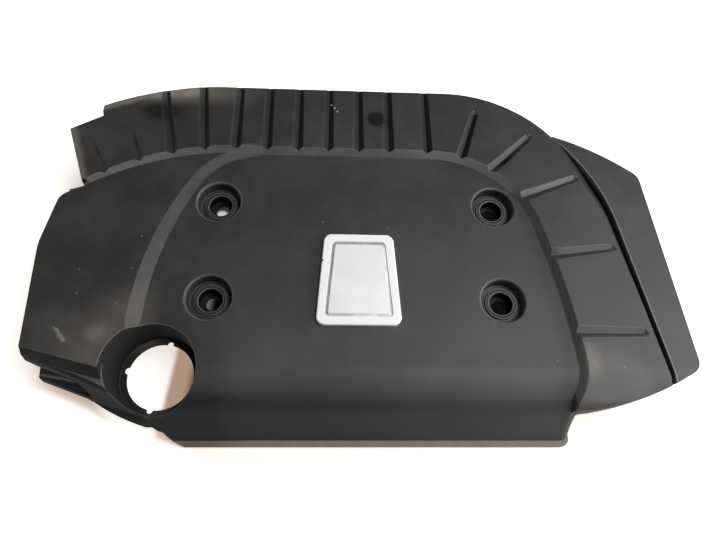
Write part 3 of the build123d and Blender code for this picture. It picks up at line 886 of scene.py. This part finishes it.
def set_softboxes():
    for name, bearing, height, power in SOFTBOXES:
        slope = math.radians(height)
        away = Vector((math.cos(slope), 0.0, math.sin(slope))) * SOFTBOX_DISTANCE
        away.rotate(Matrix.Rotation(math.radians(bearing), 3, "Z"))
        lamp = bpy.data.lights.new(name, "AREA")
        lamp.shape = "SQUARE"
        lamp.size = SOFTBOX_SIZE
        lamp.energy = power
        holder = bpy.data.objects.new(name, lamp)
        holder.location = LIT_MIDDLE + away
        holder.rotation_euler = (-away).to_track_quat("-Z", "Y").to_euler()
        scene.collection.objects.link(holder)


def pale_table():
    """White where the table is lit and warm in the shade, with painted shade under the cover and
    painted light and shade where the filler and the left wells look through to it.
    """
    f = Finish("pale_table")
    path = f.node("ShaderNodeLightPath")
    seen = any_of(path["Is Camera Ray"], path["Is Glossy Ray"], path["Is Transmission Ray"])

    across_filler = f.x - (f.y - FILLER[1]) * 0.12
    under = f.oblong(25, 0, 225, 165).over(1.1, 0.5)
    under = any_of(under, f.patch(FILLER[0], FILLER[1] + 6, 48, 6))
    # Painted shade under the cover from the filler rightwards, and painted dark further right
    painted_shade = across_filler.over(-193, -186) * under
    painted_dark_under_cover = across_filler.over(-176, -162) * under
    around = f.oblong(0, 0, 335, 215).over(0.7, 1.1)
    # Painted light past the front diagonal and in the filler, where the cover's shadow would fall
    in_front = 0 - (f.y + 130.4 + (f.x + 297.5) * 0.421)
    painted_light_in_filler = across_filler.over(-187, -194) * f.patch(*FILLER, 70, 10)
    far = any_of(around, in_front.over(1, 12), painted_light_in_filler)

    warm = f.blend(GLOW_WARM_SHADE, GLOW_FAR, far)
    warm = f.blend(warm, WHITE, f.away_from(0, 0).over(600, 1200))
    # Painted shade and light seen through the left wells
    warm = f.blend(warm, GLOW_PAINTED_SHADE, f.patch(-160, 70, 26, 8))
    warm = f.blend(warm, GLOW_PAINTED_LIGHT_REAR_WELL, f.patch(-156, 65, 6.5, 2.5))
    warm = f.blend(warm, GLOW_PAINTED_SHADE_FRONT_WELL, f.patch(-153, -39, 26, 8))
    # Painted dark under the cover
    warm = f.blend(warm, BLACK, painted_dark_under_cover)

    paint = f.blend(TABLE_LIT, TABLE_PAINTED_SHADE, painted_shade)
    plain = f.node("ShaderNodeBsdfDiffuse", sockets={"Color": TABLE_PLAIN})["BSDF"]
    lit = f.node("ShaderNodeBsdfDiffuse", sockets={"Color": paint})["BSDF"]
    glow = f.node("ShaderNodeEmission", sockets={"Color": warm, "Strength": 1.0})["Emission"]
    shown = f.node("ShaderNodeAddShader", sockets={0: lit, 1: glow})["Shader"]
    f.output(f.node("ShaderNodeMixShader", sockets={0: seen, 1: plain, 2: shown})["Shader"])
    return f.material


def set_table():
    half = TABLE_HALF
    corners = [(-half, -half, 0), (half, -half, 0), (half, half, 0), (-half, half, 0)]
    mesh = bpy.data.meshes.new("table_top")
    mesh.from_pydata(corners, [], [(0, 1, 2, 3)])
    mesh.materials.append(pale_table())
    table = bpy.data.objects.new("table_top", mesh)
    scene.collection.objects.link(table)


scene.view_settings.view_transform = "Standard"
set_camera()
set_world()
set_softboxes()
set_table()

cover = merged_copy("cover_shell", "moulded_cover")
plastics = [moulded_plastic("cover_plastic"), moulded_plastic("cover_plastic_edge", edge=True)]
soften(cover, COVER_ROUNDING, plastics)
hand_in(cover, "cover", "cover_shell")

frame_piece = merged_copy("badge_frame", "badge_surround")
soften(frame_piece, FRAME_ROUNDING, [frame_enamel()])
hand_in(frame_piece, "badge_frame", "badge_frame")

plate = badge_plate(plate_silver(), plate_edge())
hand_in(plate, "badge_plate", "badge_plate")

bushes = rubber_bushes(bush_rubber())
wells = [f"{row}_{side}" for row in ("front", "rear") for side in ("left", "right")]
hand_in(bushes, "bush", *[f"grommet_{well}" for well in wells])
